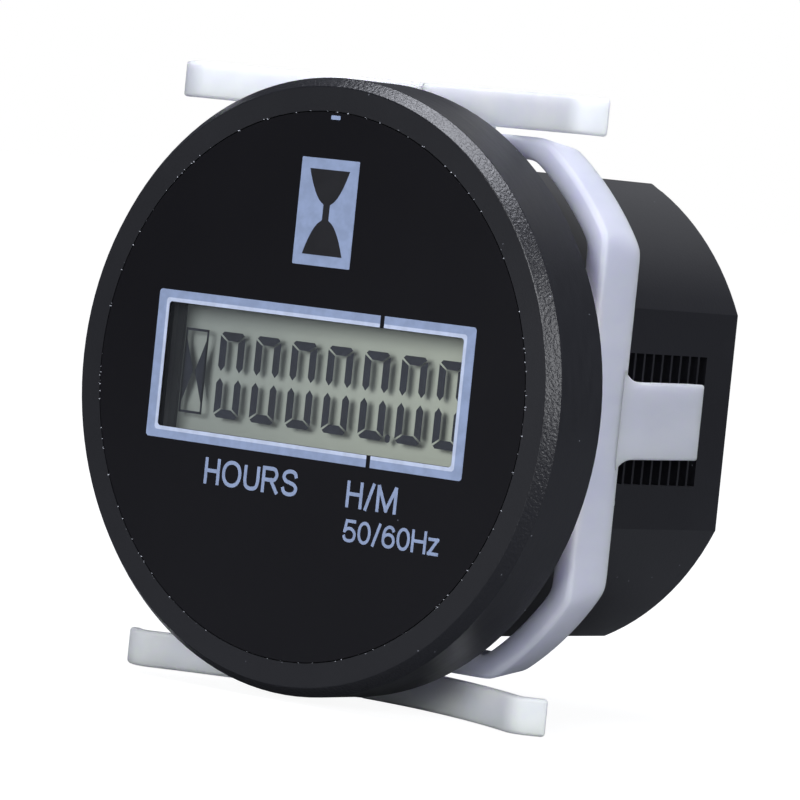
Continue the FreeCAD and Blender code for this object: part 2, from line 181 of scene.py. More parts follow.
def housingFinish(name):
    # black moulding: deep spark grain on the bezel's chamfer, a fine one elsewhere, faint marks on its side
    finish = Finish(name)
    x, y, z = finish.axes()
    radius = (x * x + z * z) ** 0.5
    chamferEnd = [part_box("face_overlay")[0].y + depth for depth in plastic["chamferDepth"]]
    onChamfer = smoothStep(radius, *plastic["chamferRadius"]) * (1 - smoothStep(y, *chamferEnd))
    onSide = smoothStep(radius, *plastic["sideRadius"]) * (1 - onChamfer) * (y < plastic["sideEnd"])
    coarse = smoothStep(finish.noise(plastic["grain"], 2.0), 0.35, 0.65)
    fine = finish.noise(plastic["fine"], 2.0)
    cloud = finish.noise(plastic["cloud"], 3.0)
    marks = finish.noise(plastic["marks"], 4.0, (1, 6, 1))
    dust = finish.specks(plastic["dustSize"], plastic["dustShare"])
    colour = finish.blend(cloud * 0.7 + marks * onSide * 0.4, plastic["dark"], plastic["light"])
    colour = finish.blend(dust, colour, plastic["dust"])
    rough = 0.40 - 0.08 * onChamfer + 0.12 * (cloud - 0.5) + 0.16 * (marks - 0.5) * onSide
    finish.put(Base_Color=colour, Roughness=rough, Specular_IOR_Level=0.55)
    finish.bump(coarse * (0.10 + 0.90 * onChamfer) + fine * 0.25, plastic["depth"], 1.0)
    return finish.material


film = {"colour": srgb(9, 8, 12), "sheen": srgb(13, 12, 17), "lint": srgb(110, 112, 125),
        "cloud": 14 * mm, "grain": 0.07 * mm, "lintSize": 0.35 * mm, "lintShare": 0.0006}


def filmFinish(name):
    # satin printed film: faint clouding, a very fine texture and a little lint
    finish = Finish(name)
    cloud = finish.noise(film["cloud"], 3.0)
    fine = finish.noise(film["grain"], 2.0)
    lint = finish.specks(film["lintSize"], film["lintShare"])
    colour = finish.blend(cloud, film["colour"], film["sheen"])
    colour = finish.blend(lint, colour, film["lint"])
    finish.put(Base_Color=colour, Roughness=0.26 + 0.1 * cloud, Specular_IOR_Level=0.4)
    finish.bump(fine, 0.01 * mm, 0.35)
    return finish.material


def inkFinish(name, colour):
    # screen-printed ink: slightly uneven in cover and gloss
    finish = Finish(name)
    cover = finish.noise(0.5 * mm, 4.0)
    faded = tuple(0.86 * c for c in colour)
    finish.put(Base_Color=finish.blend(smoothStep(cover, 0.3, 0.7), faded, colour), Roughness=0.4 + 0.1 * cover)
    finish.bump(cover, 0.006 * mm, 0.4)
    return finish.material


# the thin colours are painted brighter than the band's: painted light shining through the thin bars
nylon = {"colour": srgb(209, 211, 225), "flow": srgb(197, 200, 216), "warmPaintedLight": srgb(224, 216, 212),
         "thinPaintedLight": srgb(240, 242, 252), "thinFlowPaintedLight": srgb(228, 231, 247), "scatter": 3.0 * mm,
         "warmPaintedLightRadius": (26 * mm, 29.5 * mm), "warmPaintedLightDepth": 1.2 * mm, "flowSize": 3.5 * mm, "fine": 0.25 * mm}


def nylonFinish(name, colour, flowColour):
    # natural nylon: milky, scattering light, with faint flow marks, and a painted warm light at the band's inner
    # front edge
    finish = Finish(name)
    flow = finish.noise(nylon["flowSize"], 3.0, (1, 0.35, 1))
    fine = finish.noise(nylon["fine"], 2.0)
    x, y, z = finish.axes()
    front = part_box("retaining_clamp")[0].y
    # painted light: a warm tint near the inner radius at the front of the band
    inner = 1 - smoothStep((x * x + z * z) ** 0.5, *nylon["warmPaintedLightRadius"])
    inner = inner * (1 - smoothStep(y, front, front + nylon["warmPaintedLightDepth"]))
    colour = finish.blend(smoothStep(flow, 0.3, 0.75), flowColour, colour)
    colour = finish.blend(inner * 0.7, colour, nylon["warmPaintedLight"])
    finish.put(Base_Color=colour, Roughness=0.42 + 0.12 * (fine - 0.5), Subsurface_Weight=1.0,
               Subsurface_Radius=(1.0, 0.9, 1.1), Subsurface_Scale=nylon["scatter"])
    finish.bump(flow * 0.6 + fine * 0.2, 0.04 * mm, 0.35)
    return finish.material


def clearFinish(name, cover, tint, rough=0.04):
    # a thin clear layer: mostly seen through, with its own gloss
    finish = Finish(name)
    haze = finish.noise(5 * mm, 2.0)
    finish.put(Base_Color=tint, Roughness=rough + 0.03 * haze, Alpha=cover * (0.8 + 0.4 * haze))
    finish.material.surface_render_method = "BLENDED"
    return finish.material


reflector = {"dark": srgb(158, 166, 160), "light": srgb(208, 215, 195), "slope": 18 * mm, "cloud": 12 * mm,
             "sparkle": 0.06 * mm}


def reflectorFinish(name):
    # the display's back film: grey green, with painted shading that darkens it at the left and lightens it towards
    # the right, and a fine sparkle
    finish = Finish(name)
    sparkle = finish.noise(reflector["sparkle"], 2.0)
    cloud = finish.noise(reflector["cloud"], 1.0)
    x, y, z = finish.axes()
    # painted shading: the colour runs from the dark tone at the left to the light tone at the right
    slope = smoothStep(x, -reflector["slope"], reflector["slope"])
    colour = finish.blend(slope * 0.7 + cloud * 0.3, reflector["dark"], reflector["light"])
    finish.put(Base_Color=colour, Roughness=0.55)
    finish.bump(sparkle, 0.01 * mm, 0.4)
    return finish.material


def metalFinish(name, colour, rough, brush=(1, 1, 1)):
    # plated metal: drawn along one way, a little tarnish
    finish = Finish(name)
    lines = finish.noise(0.12 * mm, 3.0, brush)
    tarnish = finish.noise(2.5 * mm, 3.0)
    dull = tuple(0.72 * c for c in colour)
    finish.put(Base_Color=finish.blend(smoothStep(tarnish, 0.35, 0.8), colour, dull), Metallic=1.0,
               Roughness=rough + 0.15 * lines)
    finish.bump(lines, 0.01 * mm, 0.3)
    return finish.material


def mouldedFinish(name, colour, rough, grain, accent=None):
    # plain moulded or dipped part: soft mottling and its own grain
    finish = Finish(name)
    cloud = finish.noise(1.8 * mm, 3.0)
    fine = finish.noise(grain, 2.0)
    other = accent or tuple(0.8 * c for c in colour)
    finish.put(Base_Color=finish.blend(smoothStep(cloud, 0.3, 0.7), colour, other), Roughness=rough + 0.1 * fine)
    finish.bump(fine, grain * 0.3, 0.4)
    return finish.material


board = {"resist": srgb(14, 84, 42), "track": srgb(34, 118, 62), "cell": 2.2 * mm, "raised": 0.03 * mm}


def boardFinish(name):
    # solder resist over copper: lighter where a track or a land runs under it
    finish = Finish(name)
    cells = finish.add("ShaderNodeTexVoronoi", {"distance": "MANHATTAN", "feature": "F1"},
                       {"Vector": finish.place, "Scale": 1 / board["cell"]})
    tracks = smoothStep(cells, 0.42, 0.46)
    finish.put(Base_Color=finish.blend(tracks, board["resist"], board["track"]), Roughness=0.3)
    finish.bump(tracks, board["raised"], 0.5)
    return finish.material


finishes = {
    "housing_plastic": housingFinish("housing_black"),
    "overlay_film": filmFinish("overlay_film"),
    "cover_plastic": mouldedFinish("cover_black", srgb(26, 26, 30), 0.5, 0.14 * mm, srgb(34, 34, 39)),
    "clear_lens": clearFinish("lens_clear", 0.03, (0.45, 0.48, 0.53)),
    "polarizer_film": clearFinish("polarizer", 0.06, srgb(120, 126, 110), 0.15),
    "display_glass": clearFinish("display_glass", 0.02, (0.40, 0.45, 0.43)),
    "reflector_film": reflectorFinish("reflector_film"),
    "holder_plastic": mouldedFinish("holder_black", srgb(20, 20, 22), 0.55, 0.12 * mm),
    "contact_rubber": mouldedFinish("contact_rubber", srgb(150, 70, 60), 0.7, 0.1 * mm, srgb(60, 40, 38)),
    "board_laminate": boardFinish("board_laminate"),
    "chip_resin": mouldedFinish("chip_resin", srgb(34, 34, 36), 0.6, 0.06 * mm),
    "crystal_can": metalFinish("crystal_can", (0.78, 0.77, 0.74), 0.25),
    "post_nylon": mouldedFinish("post_nylon", srgb(215, 212, 200), 0.45, 0.2 * mm),
    "header_pins": metalFinish("header_pins", (0.85, 0.66, 0.30), 0.25),
    "film_capacitor_resin": mouldedFinish("capacitor_red", srgb(150, 44, 30), 0.25, 0.3 * mm),
    "capacitor_sleeve": mouldedFinish("capacitor_sleeve", srgb(28, 34, 62), 0.3, 0.25 * mm),
    "resistor_body": mouldedFinish("resistor_body", srgb(176, 158, 126), 0.5, 0.1 * mm),
    "diode_glass": mouldedFinish("diode_glass", srgb(176, 84, 44), 0.12, 0.3 * mm),
    "varistor_resin": mouldedFinish("varistor_blue", srgb(36, 74, 150), 0.3, 0.2 * mm),
    "screw_steel": metalFinish("zinc_steel", (0.62, 0.62, 0.64), 0.28),
    "plated_brass": metalFinish("plated_brass", (0.80, 0.78, 0.72), 0.22, (0.15, 1, 1)),
    "clamp_nylon": nylonFinish("clamp_nylon", nylon["colour"], nylon["flow"]),
}
for entry in frame["record"]["subparts"]:
    nodes[entry["node"]].material_slots[0].material = finishes[entry["material_slot"]]
print("finishes made:", len(finishes))


# mesh helpers
def surface(name, grid, material, around=False):
    # grid is (n, m, 3) in millimetres: n rings along the piece, m points round each ring;
    # around joins the last ring to the first, otherwise both ends are capped
    n, m = grid.shape[:2]
    index = np.arange(n * m).reshape(n, m)
    after = np.roll(index, -1, axis=0) if around else index[1:]
    ring = index if around else index[:-1]
    quads = np.stack([ring, after, np.roll(after, -1, axis=1), np.roll(ring, -1, axis=1)], axis=-1)
    faces = quads.reshape(-1, 4).tolist()
    if not around:
        faces += [index[0].tolist(), index[-1].tolist()]
    return meshPiece(name, grid.reshape(-1, 3) * mm, faces, material)


def meshPiece(name, points, faces, material, smooth=40):
    # points in metres; faces meeting at less than smooth degrees are shaded as one, and 0 keeps all flat
    mesh = bpy.data.meshes.new(name)
    mesh.from_pydata(points.tolist(), [], faces)
    work = bmesh.new()
    work.from_mesh(mesh)
    bmesh.ops.recalc_face_normals(work, faces=work.faces)
    work.to_mesh(mesh)
    work.free()
    piece = bpy.data.objects.new(name, mesh)
    bpy.context.scene.collection.objects.link(piece)
    mesh.materials.append(material)
    mesh.polygons.foreach_set("use_smooth", [smooth > 0] * len(mesh.polygons))
    if smooth:
        mesh.set_sharp_from_angle(angle=radians(smooth))
    return piece


rounding = {"segments": 3, "angle": 35}


def bevel(piece, width):
    edges = piece.modifiers.new("edges", "BEVEL")
    edges.width, edges.segments, edges.limit_method = width * mm, rounding["segments"], "ANGLE"
    edges.angle_limit = radians(rounding["angle"])
    edges.harden_normals = True
    return piece


def sweptBar(name, front, rear, low, high, material):
    # a bar between two curves in plan, from height low to height high at each station
    def column(points, height):
        return np.column_stack([points[:, 0], points[:, 1], height])
    rings = [column(front, low), column(front, high), column(rear, high), column(rear, low)]
    return surface(name, np.stack(rings, axis=1), material)


# retaining clamp: one milky moulding, shown as a band, necks, bowed bars and tongues
clamp = {"roundGap": 3.9, "flatGap": 1.1, "roundWall": 2.35, "flatWall": 2.2, "roundDraft": 0.8,
         "sideDraft": 0.2, "topDraft": 0.6, "frontRound": 0.6, "edgeRound": 0.22, "corner": 150,
         "barrelRound": 25.3, "barrelFlat": 22.9, "length": 6.1, "steps": 720, "arcSteps": 6}


def softOutline(angle, radius, side, top):
    # distance to a circle cut by a rectangle: the p-norm of the three, so corners are softened
    p = clamp["corner"]
    across, up = (np.maximum(abs(turned), 1e-3) for turned in (np.cos(angle), np.sin(angle)))
    total = radius ** -p + (side / across) ** -p
    return (total + (top / up) ** -p) ** (-1 / p)


def clampBand():
    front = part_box("retaining_clamp")[0].y / mm
    angle = np.linspace(0, 2 * pi, clamp["steps"], endpoint=False)[:, None]
    # the wall's section: four quarter arcs, each as (on the outside, at the back, radius,
    # which way its centre lies in radius and in length, start angle)
    corners = [(0, 0, clamp["edgeRound"], 1, 1, 180), (1, 0, clamp["frontRound"], -1, 1, 270),
               (1, 1, clamp["edgeRound"], -1, -1, 0), (0, 1, clamp["edgeRound"], 1, -1, 90)]
    outer, along, outwards, backwards = [], [], [], []
    for isOuter, atBack, r, toRadius, toLength, start in corners:
        turn = np.radians(start + np.linspace(0, 90, clamp["arcSteps"]))
        outer += [isOuter] * clamp["arcSteps"]
        along += [atBack] * clamp["arcSteps"]
        outwards += (toRadius * r + r * np.cos(turn)).tolist()
        backwards += (toLength * r + r * np.sin(turn)).tolist()
    outer, along = np.array(outer, float), np.array(along, float)
    innerRound, innerFlat = clamp["barrelRound"] + clamp["roundGap"], clamp["barrelFlat"] + clamp["flatGap"]
    outerRound, outerFlat = innerRound + clamp["roundWall"], innerFlat + clamp["flatWall"]
    inside = softOutline(angle, innerRound, innerFlat, innerFlat)
    outside = softOutline(angle, outerRound - clamp["roundDraft"] * along,
                          outerFlat - clamp["sideDraft"] * along, outerFlat - clamp["topDraft"] * along)
    radius = inside * (1 - outer) + outside * outer + np.array(outwards)
    depth = front + clamp["length"] * along + np.array(backwards) + 0 * angle
    grid = np.stack([radius * np.cos(angle), depth, radius * np.sin(angle)], axis=-1)
    return surface("clamp_band", grid, finishes["clamp_nylon"], around=True)


band = clampBand()
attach(band, "clamp")
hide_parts("retaining_clamp")
print("clamp band made")

# the bars' nylon: a lighter colour that paints in the light shining through the thin bars
thinNylonPaintedLight = nylonFinish("clamp_nylon_thin_painted_light", nylon["thinPaintedLight"], nylon["thinFlowPaintedLight"])
bar = {"curve": 0.0117, "setback": 2.4, "thick": 1.6, "tipThick": 1.2, "hookStart": 22.45, "hookGain": 0.21,
       "reach": 26.7, "overlap": 1.0, "sunk": 0.04, "low": 26.85, "height": 3.6, "hinge": 10.0, "edge": 0.34,
       "stations": 60}


def barPoints(side):
    # plan of half a bar: a parabola, with a second one that hooks its tip, offset by its thickness
    x = np.linspace(-bar["overlap"], bar["reach"], bar["stations"])
    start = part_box("retaining_clamp")[0].y / mm + bar["setback"]
    hook = bar["hookGain"] * np.maximum(x - bar["hookStart"], 0) ** 2
    y = start - bar["curve"] * x ** 2 + hook
    slope = np.gradient(y, x)
    length = np.sqrt(1 + slope ** 2)
    share = np.clip((x - bar["hookStart"]) / (bar["reach"] - bar["hookStart"]), 0, 1)
    thick = bar["thick"] + (bar["tipThick"] - bar["thick"]) * share
    sunk = bar["sunk"] * (x < 0)  # past the middle an arm lies just inside its twin
    front = np.column_stack([x, y + sunk])
    rear = np.column_stack([x - slope / length * thick, y + thick / length - sunk])
    return front * (side, 1), rear * (side, 1), sunk


for level, up in (("upper", 1), ("lower", -1)):
    for hand, side in (("right", 1), ("left", -1)):
        front, rear, sunk = barPoints(side)
        low, high = (bar["low"] + sunk) * up, (bar["low"] + bar["height"] - sunk) * up
        arm = bevel(sweptBar(f"clamp_bar_{level}_{hand}", front, rear, low, high, thinNylonPaintedLight), bar["edge"])
        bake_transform(arm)
        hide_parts(f"bar_arm_{level}_{hand}")
print("bowed bars made")

tongue = {"bandY": 8.4, "stubY": 11.75, "bendIn": 25.2, "tipY": 24.2, "outerStart": 26.1, "outerTip": 24.3,
          "innerStart": 24.95, "innerTip": 23.05, "half": 3.75, "flare": 1.3, "edge": 0.25, "stations": 28,
          "wedgeFrom": 0.86, "wedge": 0.35}


def tonguePoints():
    # along the tongue from the band to its tip: inner and outer x, and half its width;
    # a straight root that flares into the band, then a plate leaning in, its end cut to a wedge
    s = np.linspace(0, 1, tongue["stations"])
    y = tongue["bandY"] + (tongue["tipY"] - tongue["bandY"]) * s
    lean = np.clip((y - tongue["stubY"]) / (tongue["tipY"] - tongue["stubY"]), 0, 1)
    outer = tongue["outerStart"] + (tongue["outerTip"] - tongue["outerStart"]) * lean
    inner = tongue["innerStart"] + (tongue["innerTip"] - tongue["innerStart"]) * lean
    end = np.clip((lean - tongue["wedgeFrom"]) / (1 - tongue["wedgeFrom"]), 0, 1)
    inner = inner + (outer - inner) * tongue["wedge"] * end
    root = np.clip(1 - (y - tongue["bandY"]) / (tongue["stubY"] - tongue["bandY"]), 0, 1)
    half = tongue["half"] + tongue["flare"] * root ** 3
    return y, inner, outer, half


for hand, side in (("right", 1), ("left", -1)):
    y, inner, outer, half = tonguePoints()
    corners = ((inner, -half), (outer, -half), (outer, half), (inner, half))
    rings = [np.column_stack([x * side, y, z]) for x, z in corners]
    plate = bevel(surface(f"clamp_tongue_{hand}", np.stack(rings, axis=1), finishes["clamp_nylon"]), tongue["edge"])
    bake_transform(plate)
    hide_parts(f"tongue_{hand}")
print("tongues made")

neck = {"half": 8.5, "low": 23.9, "high": 27.3, "front": 5.45, "rear": 7.1, "edge": 0.4, "flare": 0.9,
        "stations": 14}


def clampNeck(name, up):
    # the block that joins band and bar: a rounded box that widens into the band by a square law
    t = np.linspace(0, 1, neck["stations"])
    z = neck["low"] + (neck["high"] - neck["low"]) * t
    half = neck["half"] + neck["flare"] * (1 - t) ** 2
    front, rear = neck["front"] + 0 * t, neck["rear"] + 0 * t
    corners = [(-half, front), (half, front), (half, rear), (-half, rear)]
    grid = np.stack([np.column_stack([x, y, z * up]) for x, y in corners], axis=1)
    return bevel(surface(name, grid, finishes["clamp_nylon"]), neck["edge"])


for name, up in (("clamp_neck_upper", 1), ("clamp_neck_lower", -1)):
    block = clampNeck(name, up)
    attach(block, "clamp")

gate = {"x": 25.5, "y": 9.0, "z": -8.0, "half": 0.36, "taper": 0.8, "edge": 0.1}


def gateMark():
    # the stub left where the gate was cut: a cube whose rear end is pulled in a little
    turn = np.radians([45, 135, 225, 315])
    t = np.linspace(-1, 1, 4)[:, None]
    half = gate["half"] * 2 ** 0.5 * (1 - (1 - gate["taper"]) * (t + 1) / 2)
    grid = np.stack([gate["x"] + half * np.cos(turn), gate["y"] + gate["half"] * t + 0 * turn,
                     gate["z"] + half * np.sin(turn)], axis=-1)
    return bevel(surface("clamp_gate_mark", grid, finishes["clamp_nylon"]), gate["edge"])


gateStub = gateMark()
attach(gateStub, "clamp")
print("necks and gate mark made")

# printing on the face: thin ink plates lying on the film
ink = {"white": srgb(152, 168, 201), "bright": srgb(205, 216, 240), "black": srgb(20, 20, 25), "thick": 0.03,
       "over": 0.012, "stagger": 0.0008}
inkWhite = inkFinish("ink_white", ink["white"])
inkBright = inkFinish("ink_bright", ink["bright"])
inkBlack = inkFinish("ink_black", ink["black"])
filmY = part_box("face_overlay")[0].y / mm


def roundedBox(width, height, corner, steps=8):
    # outline of a rectangle whose corners are quarter arcs, counterclockwise
    turns = [np.linspace(a, a + pi / 2, steps) for a in (0, pi / 2, pi, 3 * pi / 2)]
    centres = [(1, 1), (-1, 1), (-1, -1), (1, -1)]
    sides = [np.column_stack([sx * (width / 2 - corner) + corner * np.cos(t),
                              sz * (height / 2 - corner) + corner * np.sin(t)])
             for t, (sx, sz) in zip(turns, centres)]
    return np.concatenate(sides)


def plateFrom(name, outlines, faces, y, thick, material, stagger=0.0):
    # a flat plate: faces over points (x, z) in a plane of constant y, thickened evenly to both sides;
    # each outline lies stagger in front of the one before, so that crossing strokes don't share a plane
    depth = np.concatenate([np.full(len(outline), y - k * stagger) for k, outline in enumerate(outlines)])
    flat = np.concatenate(outlines)
    points = np.column_stack([flat[:, 0], depth, flat[:, 1]]) * mm
    plate = meshPiece(name, points, faces, material, 0)
    solid = plate.modifiers.new("thickness", "SOLIDIFY")
    solid.thickness, solid.offset = thick * mm, 0
    return plate


def ringPlate(name, outer, inner, y, thick, material):
    # the strip between two outlines with equally many points
    n = len(outer)
    i = np.arange(n)
    quads = np.column_stack([i, (i + 1) % n, (i + 1) % n + n, i + n]).tolist()
    return plateFrom(name, [outer, inner], quads, y, thick, material)


window = {"width": 37.06, "height": 12.24, "outerWidth": 39.9, "outerHeight": 14.6, "x": 0.13, "z": 0.42,
          "split": 0.40, "bleed": 0.03, "corner": 0.35, "gapX": 8.6, "gap": 0.5}


def windowFrame():
    # the printed frame: an outer and a brighter inner strip, broken by a small gap above and below
    centre = np.array([window["x"], window["z"]])
    sizes = [(window["outerWidth"], window["outerHeight"]),
             (window["width"] + 2 * window["split"], window["height"] + 2 * window["split"]),
             (window["width"] + 2 * window["bleed"], window["height"] + 2 * window["bleed"])]
    outlines = [roundedBox(w, h, window["corner"]) + centre for w, h in sizes]
    pieces = [ringPlate("window_frame", outlines[0], outlines[1], filmY, ink["thick"], inkWhite),
              ringPlate("window_edge", outlines[1], outlines[2], filmY, ink["thick"], inkBright)]
    x0, x1 = window["gapX"] - window["gap"] / 2, window["gapX"] + window["gap"] / 2
    near, far = window["height"] / 2, window["outerHeight"] / 2
    for place, z0, z1 in (("upper", window["z"] + near, window["z"] + far),
                          ("lower", window["z"] - far, window["z"] - near)):
        corners = np.array([(x0, z0), (x1, z0), (x1, z1), (x0, z1)])
        pieces.append(plateFrom(f"frame_gap_{place}", [corners], [[0, 1, 2, 3]], filmY,
                                ink["thick"] + ink["over"], finishes["overlay_film"]))
    return pieces


icon = {"left": -3.33, "right": 3.87, "low": 11.7, "high": 22.1, "border": 1.05, "bulb": 5.0, "neck": 0.82,
        "waist": 1.45, "power": 0.46, "steps": 90, "corner": 0.1}


def hourglassHalf(z, tall):
    # half width at height z from the waist: a straight neck, then a bowl that opens as a power of height
    rise = np.clip((np.abs(z) - icon["waist"] / 2) / (tall - icon["waist"] / 2), 0, 1)
    return np.maximum(icon["neck"] / 2, icon["bulb"] / 2 * rise ** icon["power"])


def hourglassIcon():
    # a white plate and the black glass on it
    centre = np.array([(icon["left"] + icon["right"]) / 2, (icon["low"] + icon["high"]) / 2])
    width, height = icon["right"] - icon["left"], icon["high"] - icon["low"]
    outline = roundedBox(width, height, icon["corner"]) + centre
    ground = plateFrom("icon_ground", [outline], [list(range(len(outline)))], filmY, ink["thick"], inkWhite)
    tall = height / 2 - icon["border"]
    # heights crowded both at the waist and at the rims, where the outline bends most
    z = np.sin(np.linspace(-pi / 2, pi / 2, icon["steps"]) ** 3 / (pi / 2) ** 2) * tall
    half = hourglassHalf(z, tall)
    right = np.column_stack([half, z]) + centre
    left = np.column_stack([-half, z]) + centre
    n = icon["steps"]
    i = np.arange(n - 1)
    quads = np.column_stack([i, i + 1, i + 1 + n, i + n]).tolist()
    glass = plateFrom("icon_hourglass", [right, left], quads, filmY, ink["thick"] + ink["over"], inkBlack)
    return [ground, glass]


mark = {"width": 1.15, "height": 0.4, "corner": 0.08, "x": 0.3, "z": 26.1}


def indexMark():
    # the short bar printed at the top of the face
    outline = roundedBox(mark["width"], mark["height"], mark["corner"]) + (mark["x"], mark["z"])
    return [plateFrom("index_mark", [outline], [list(range(len(outline)))], filmY, ink["thick"], inkWhite)]


# letters as centre lines in a unit box: "line" is straight, "curve" runs smoothly through its points,
# and "round" is a closed oval
glyphs = {
    "H": [("line", [(0, 0), (0, 1)]), ("line", [(1, 0), (1, 1)]), ("line", [(0, 0.52), (1, 0.52)])],
    "O": [("round", [(0.5, 0.5), (0.5, 0.5), 2.2])],
    "U": [("curve", [(0, 1), (0, 0.7), (0, 0.34), (0.13, 0.08), (0.5, 0), (0.87, 0.08), (1, 0.34), (1, 0.7),
                     (1, 1)])],
    "R": [("line", [(0, 0), (0, 1)]), ("line", [(0, 1), (0.6, 1)]), ("line", [(0, 0.5), (0.6, 0.5)]),
          ("curve", [(0.55, 1), (0.8, 0.96), (0.93, 0.75), (0.8, 0.54), (0.55, 0.5)]),
          ("line", [(0.52, 0.5), (0.98, 0)])],
    "S": [("curve", [(0.96, 0.74), (0.83, 0.94), (0.5, 1), (0.17, 0.92), (0.05, 0.74), (0.2, 0.58), (0.5, 0.51),
                     (0.83, 0.43), (0.98, 0.26), (0.84, 0.07), (0.5, 0), (0.15, 0.07), (0, 0.28)])],
    "/": [("line", [(0, -0.03), (1, 1.03)])],
    "M": [("line", [(0, 0), (0, 1)]), ("line", [(0.03, 1), (0.5, 0.04)]), ("line", [(0.5, 0.04), (0.97, 1)]),
          ("line", [(1, 1), (1, 0)])],
    "5": [("line", [(0.93, 1), (0.2, 1)]), ("line", [(0.2, 1), (0.06, 0.47)]),
          ("curve", [(0.06, 0.47), (0.28, 0.6), (0.6, 0.62), (0.9, 0.5), (1, 0.31), (0.88, 0.08), (0.5, 0),
                     (0.14, 0.07), (0, 0.26)])],
    "0": [("round", [(0.5, 0.5), (0.5, 0.5), 2.1])],
    "6": [("round", [(0.5, 0.31), (0.5, 0.31), 2.1]),
          ("curve", [(0.96, 0.78), (0.82, 0.95), (0.5, 1), (0.18, 0.87), (0.03, 0.6), (0, 0.33)])],
    "z": [("line", [(0.02, 0.72), (0.98, 0.72)]), ("line", [(0.96, 0.72), (0.03, 0)]), ("line", [(0, 0), (1, 0)])],
}
lettering = [{"name": "label_hours", "words": "HOURS", "left": -11.75, "low": -10.75, "height": 2.6,
              "stroke": 0.37, "widths": [1.95, 2.45, 2.0, 2.15, 2.1], "space": 0.33},
             {"name": "label_unit", "words": "H/M", "left": 6.35, "low": -10.95, "height": 2.6,
              "stroke": 0.36, "widths": [2.0, 1.15, 2.5], "space": 0.3},
             {"name": "label_mains", "words": "50/60Hz", "left": 6.35, "low": -14.25, "height": 2.2,
              "stroke": 0.31, "widths": [1.65, 1.6, 1.0, 1.6, 1.6, 1.8, 1.35], "space": 0.21}]


def smoothPath(points, between=8):
    # Catmull-Rom curve: each stretch is a cubic through its two ends, with slopes taken from the neighbours
    p = np.array(points, float)
    p = np.vstack([2 * p[0] - p[1], p, 2 * p[-1] - p[-2]])
    t = np.linspace(0, 1, between, endpoint=False)[None, :, None]
    a, b, c, d = (p[i:len(p) - 3 + i][:, None, :] for i in range(4))
    path = 0.5 * (2 * b + (c - a) * t + (2 * a - 5 * b + 4 * c - d) * t ** 2 + (3 * b - 3 * c + d - a) * t ** 3)
    return np.vstack([path.reshape(-1, 2), p[-2]])


def strokePath(kind, points):
    # the centre line of one stroke in the unit box; "round" is a closed superellipse: centre, radii, power
    if kind == "round":
        centre, radii, power = points
        t = np.linspace(0, 2 * pi, 49)
        shape = np.column_stack([np.sign(f) * np.abs(f) ** (2 / power) for f in (np.cos(t), np.sin(t))])
        return np.array(centre) + shape * radii
    return smoothPath(points) if kind == "curve" else np.array(points, float)


def label(name, words, left, low, height, stroke, widths, space):
    # each stroke is a strip: its centre line moved half the stroke's width to both sides
    strips, faces, first, x = [], [], 0, left
    for letter, width in zip(words, widths):
        for kind, points in glyphs[letter]:
            path = strokePath(kind, points) * (width - stroke, height - stroke)
            path = path + (x + stroke / 2, low + stroke / 2)
            along = np.gradient(path, axis=0)
            if kind == "round":
                along[0] = along[-1] = path[1] - path[-2]
            along /= np.linalg.norm(along, axis=1)[:, None]
            if kind == "line":
                path = path + np.array([[-1], [1]]) * along * stroke * 0.48  # square ends reach the box
            across = np.column_stack([-along[:, 1], along[:, 0]]) * stroke / 2
            n = len(path)
            i = first + np.arange(n - 1)
            faces += np.column_stack([i, i + 1, i + 1 + n, i + n]).tolist()
            strips.append(np.vstack([path + across, path - across]))
            first += 2 * n
        x += width + space
    return plateFrom(name, strips, faces, filmY, ink["thick"], inkWhite, ink["stagger"])


prints = windowFrame() + hourglassIcon() + indexMark() + [label(**entry) for entry in lettering]
for piece in prints:
    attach(piece, "meter")
print("printing made:", len(prints))

# the display's driven segments, lying between its two glasses
digits = {"count": 7, "first": -12.3, "pitch": 4.61, "z": -0.1, "width": 3.2, "height": 8.5, "stroke": 0.86,
          "gap": 0.12, "middle": 0.34, "cut": 0.42, "nose": 0.14, "slant": 0.26, "taper": 0.85,
          "point": (8.3, -4.05), "pointSize": 0.8, "pointCorner": 0.3, "thick": 0.02}
segmentMaterial = mouldedFinish("display_segment", srgb(5, 11, 28), 0.5, 0.1 * mm, srgb(9, 16, 36))
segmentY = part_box("lcd_rear_glass")[0].y / mm - digits["thick"]
slab = {"corner": 0.15, "gap": 0.01}


def displayCell():
    # polarizer and both glasses as one clear slab, so that light passes few surfaces on its way
    low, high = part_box("lcd_polarizer")[0] / mm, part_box("lcd_rear_glass")[1] / mm
    outline = roundedBox(high.x - low.x, high.z - low.z, slab["corner"])
    outline = outline + ((low.x + high.x) / 2, (low.z + high.z) / 2)
    rings = [np.column_stack([outline[:, 0], np.full(len(outline), y), outline[:, 1]])
             for y in (low.y, high.y - slab["gap"])]
    return surface("lcd_cell", np.stack(rings), finishes["display_glass"])


cell = displayCell()
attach(cell, "meter")
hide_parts("lcd_polarizer", "lcd_front_glass", "lcd_rear_glass")


def segmentOutlines(x, z):
    # the six bars of a lit zero: a mitred bar above and below, and four pointed side bars
    w, h, s, g = digits["width"] / 2, digits["height"] / 2, digits["stroke"], digits["gap"]
    cut, nose, slant, taper = (digits[key] for key in ("cut", "nose", "slant", "taper"))
    top = [(-w + cut, h), (w - cut, h), (w - nose, h - slant), (w - s - g, h - s), (-w + s + g, h - s),
           (-w + nose, h - slant)]
    side = [(w, h - cut), (w, taper), (w - s / 2, digits["middle"]), (w - s, taper), (w - s, h - s - g)]
    shapes = [top, [(a, -b) for a, b in top]]
    for sx in (1, -1):
        for sz in (1, -1):
            shapes.append([(a * sx, b * sz) for a, b in side])
    return [np.array(shape) + (x, z) for shape in shapes]


def outlinesPlate(name, outlines):
    # one plate with a face for each outline
    faces, first = [], 0
    for outline in outlines:
        faces.append(list(range(first, first + len(outline))))
        first += len(outline)
    return plateFrom(name, outlines, faces, segmentY, digits["thick"], segmentMaterial)


